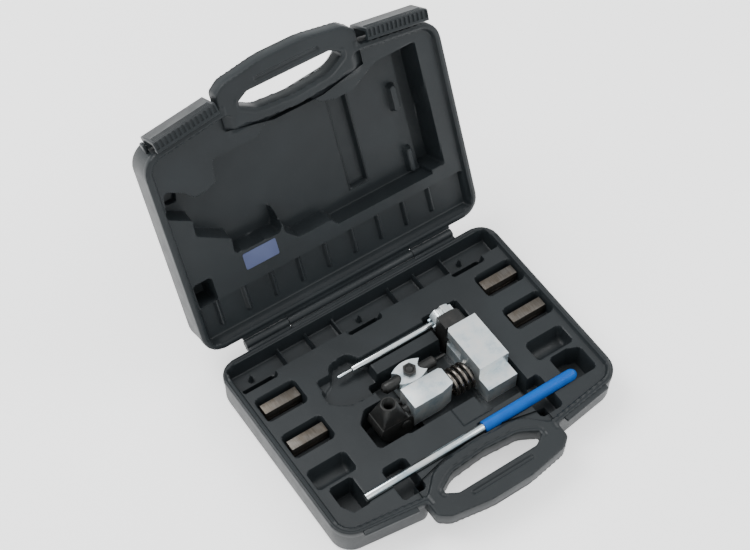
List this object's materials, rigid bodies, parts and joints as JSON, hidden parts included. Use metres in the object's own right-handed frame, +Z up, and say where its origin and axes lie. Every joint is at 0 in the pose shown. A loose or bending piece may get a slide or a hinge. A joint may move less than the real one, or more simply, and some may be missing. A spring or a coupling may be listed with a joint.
{
  "type": "flaring tool",
  "caption": "Screw-clamp and cam pipe flaring tool with split dies and a loose lever, in a moulded carrying case with a hinged, latched lid.",
  "frame": {"origin": "centre of the case base's underside", "axes": "+Z up, X along the lid's hinge, +Y towards the hinge, -Y towards the carrying handle"},
  "size_m": [0.36, 0.446, 0.3174],
  "materials": {
    "case_plastic": "fine-grained moulded plastic",
    "zinc_plated_steel": "bright zinc plate",
    "black_steel": "oiled black oxide",
    "spring_steel": "oil-tempered",
    "die_steel": "milled, faintly oiled",
    "plain_steel": "ground",
    "blue_vinyl": "dipped vinyl"
  },
  "bodies": {
    "case_base": {"case_base": "case_plastic", "hinge_pin": "plain_steel"},
    "case_lid": {"case_lid": "case_plastic", "latch_pin_left": "plain_steel", "latch_pin_right": "plain_steel"},
    "latch_left": {"latch_left": "case_plastic"},
    "latch_right": {"latch_right": "case_plastic"},
    "tool_frame": {"die_block": "zinc_plated_steel", "clamp_strap": "black_steel", "strap_screw_1": "black_steel", "strap_screw_2": "black_steel", "guide_rod": "black_steel", "rod_grub_screw": "black_steel", "cam_pin": "black_steel", "cam_pin_clip": "black_steel", "return_spring": "spring_steel"},
    "ram": {"ram_block": "zinc_plated_steel", "holder_screw": "black_steel"},
    "punch_holder": {"punch_holder": "zinc_plated_steel", "punch_left": "black_steel", "punch_right": "black_steel"},
    "cam_lever": {"cam_lever": "black_steel"},
    "clamp_screw": {"clamp_screw": "zinc_plated_steel", "clamp_pad": "black_steel"},
    "tommy_bar": {"tommy_bar": "zinc_plated_steel"},
    "lever": {"lever_rod": "zinc_plated_steel", "lever_grip": "blue_vinyl"},
    "die_1_lower": {"die_1_lower": "die_steel"},
    "die_1_upper": {"die_1_upper": "die_steel"},
    "die_2_lower": {"die_2_lower": "die_steel"},
    "die_2_upper": {"die_2_upper": "die_steel"},
    "die_3_lower": {"die_3_lower": "die_steel"},
    "die_3_upper": {"die_3_upper": "die_steel"},
    "die_4_lower": {"die_4_lower": "die_steel"},
    "die_4_upper": {"die_4_upper": "die_steel"}
  },
  "joints": [
    {"name": "lid_hinge", "type": "hinge", "parent": "case_base", "child": "case_lid", "pos_m": [0, 0.131, 0.043], "axis": [-1, 0, 0], "range_deg": [-114, 0]},
    {"name": "latch_left_hinge", "type": "hinge", "parent": "case_lid", "child": "latch_left", "pos_m": [-0.1261, 0.25625, 0.2776], "axis": [-0.9911, -0.054, -0.1213], "range_deg": [-8, 45]},
    {"name": "latch_right_hinge", "type": "hinge", "parent": "case_lid", "child": "latch_right", "pos_m": [0.1261, 0.25625, 0.2776], "axis": [-0.9911, 0.054, 0.1213], "range_deg": [-8, 45]},
    {"name": "tool_lift", "type": "slide", "parent": "case_base", "child": "tool_frame", "axis": [0, 0, 1], "range_m": [0, 0.06]},
    {"name": "lever_lift", "type": "slide", "parent": "case_base", "child": "lever", "axis": [0, 0, 1], "range_m": [0, 0.05]},
    {"name": "cam_lever_hinge", "type": "hinge", "parent": "tool_frame", "child": "cam_lever", "pos_m": [-0.045, -0.0276, 0.032], "axis": [0, -1, 0], "range_deg": [0, 40]},
    {"name": "ram_slide", "type": "slide", "parent": "tool_frame", "child": "ram", "axis": [1, 0, 0], "range_m": [0, 0.00893], "deforming": ["return_spring"]},
    {"name": "punch_holder_turn", "type": "hinge", "parent": "ram", "child": "punch_holder", "pos_m": [-0.0095, 0.0035, 0.0375], "axis": [0, 0, 1], "range_deg": [-10, 10]},
    {"name": "clamp_screw_turn", "type": "hinge", "parent": "tool_frame", "child": "clamp_screw", "pos_m": [0.063, 0.0432, 0.0375], "axis": [0, 1, 0], "range_deg": [0, 120]},
    {"name": "tommy_bar_slide", "type": "slide", "parent": "clamp_screw", "child": "tommy_bar", "axis": [1, 0, 0], "range_m": [-0.014, 0.004]},
    {"name": "die_1_lift", "type": "slide", "parent": "case_base", "child": "die_1_lower", "axis": [0, 0, 1], "range_m": [0, 0.05]},
    {"name": "die_1_part", "type": "slide", "parent": "die_1_lower", "child": "die_1_upper", "axis": [0, 0, 1], "range_m": [0, 0.025]},
    {"name": "die_2_lift", "type": "slide", "parent": "case_base", "child": "die_2_lower", "axis": [0, 0, 1], "range_m": [0, 0.05]},
    {"name": "die_2_part", "type": "slide", "parent": "die_2_lower", "child": "die_2_upper", "axis": [0, 0, 1], "range_m": [0, 0.025]},
    {"name": "die_3_lift", "type": "slide", "parent": "case_base", "child": "die_3_lower", "axis": [0, 0, 1], "range_m": [0, 0.05]},
    {"name": "die_3_part", "type": "slide", "parent": "die_3_lower", "child": "die_3_upper", "axis": [0, 0, 1], "range_m": [0, 0.025]},
    {"name": "die_4_lift", "type": "slide", "parent": "case_base", "child": "die_4_lower", "axis": [0, 0, 1], "range_m": [0, 0.05]},
    {"name": "die_4_part", "type": "slide", "parent": "die_4_lower", "child": "die_4_upper", "axis": [0, 0, 1], "range_m": [0, 0.025]}
  ],
  "couplings": [
    {"joint": "cam_lever_hinge", "follows": "ram_slide", "rad_per_m": 78.125}
  ]
}
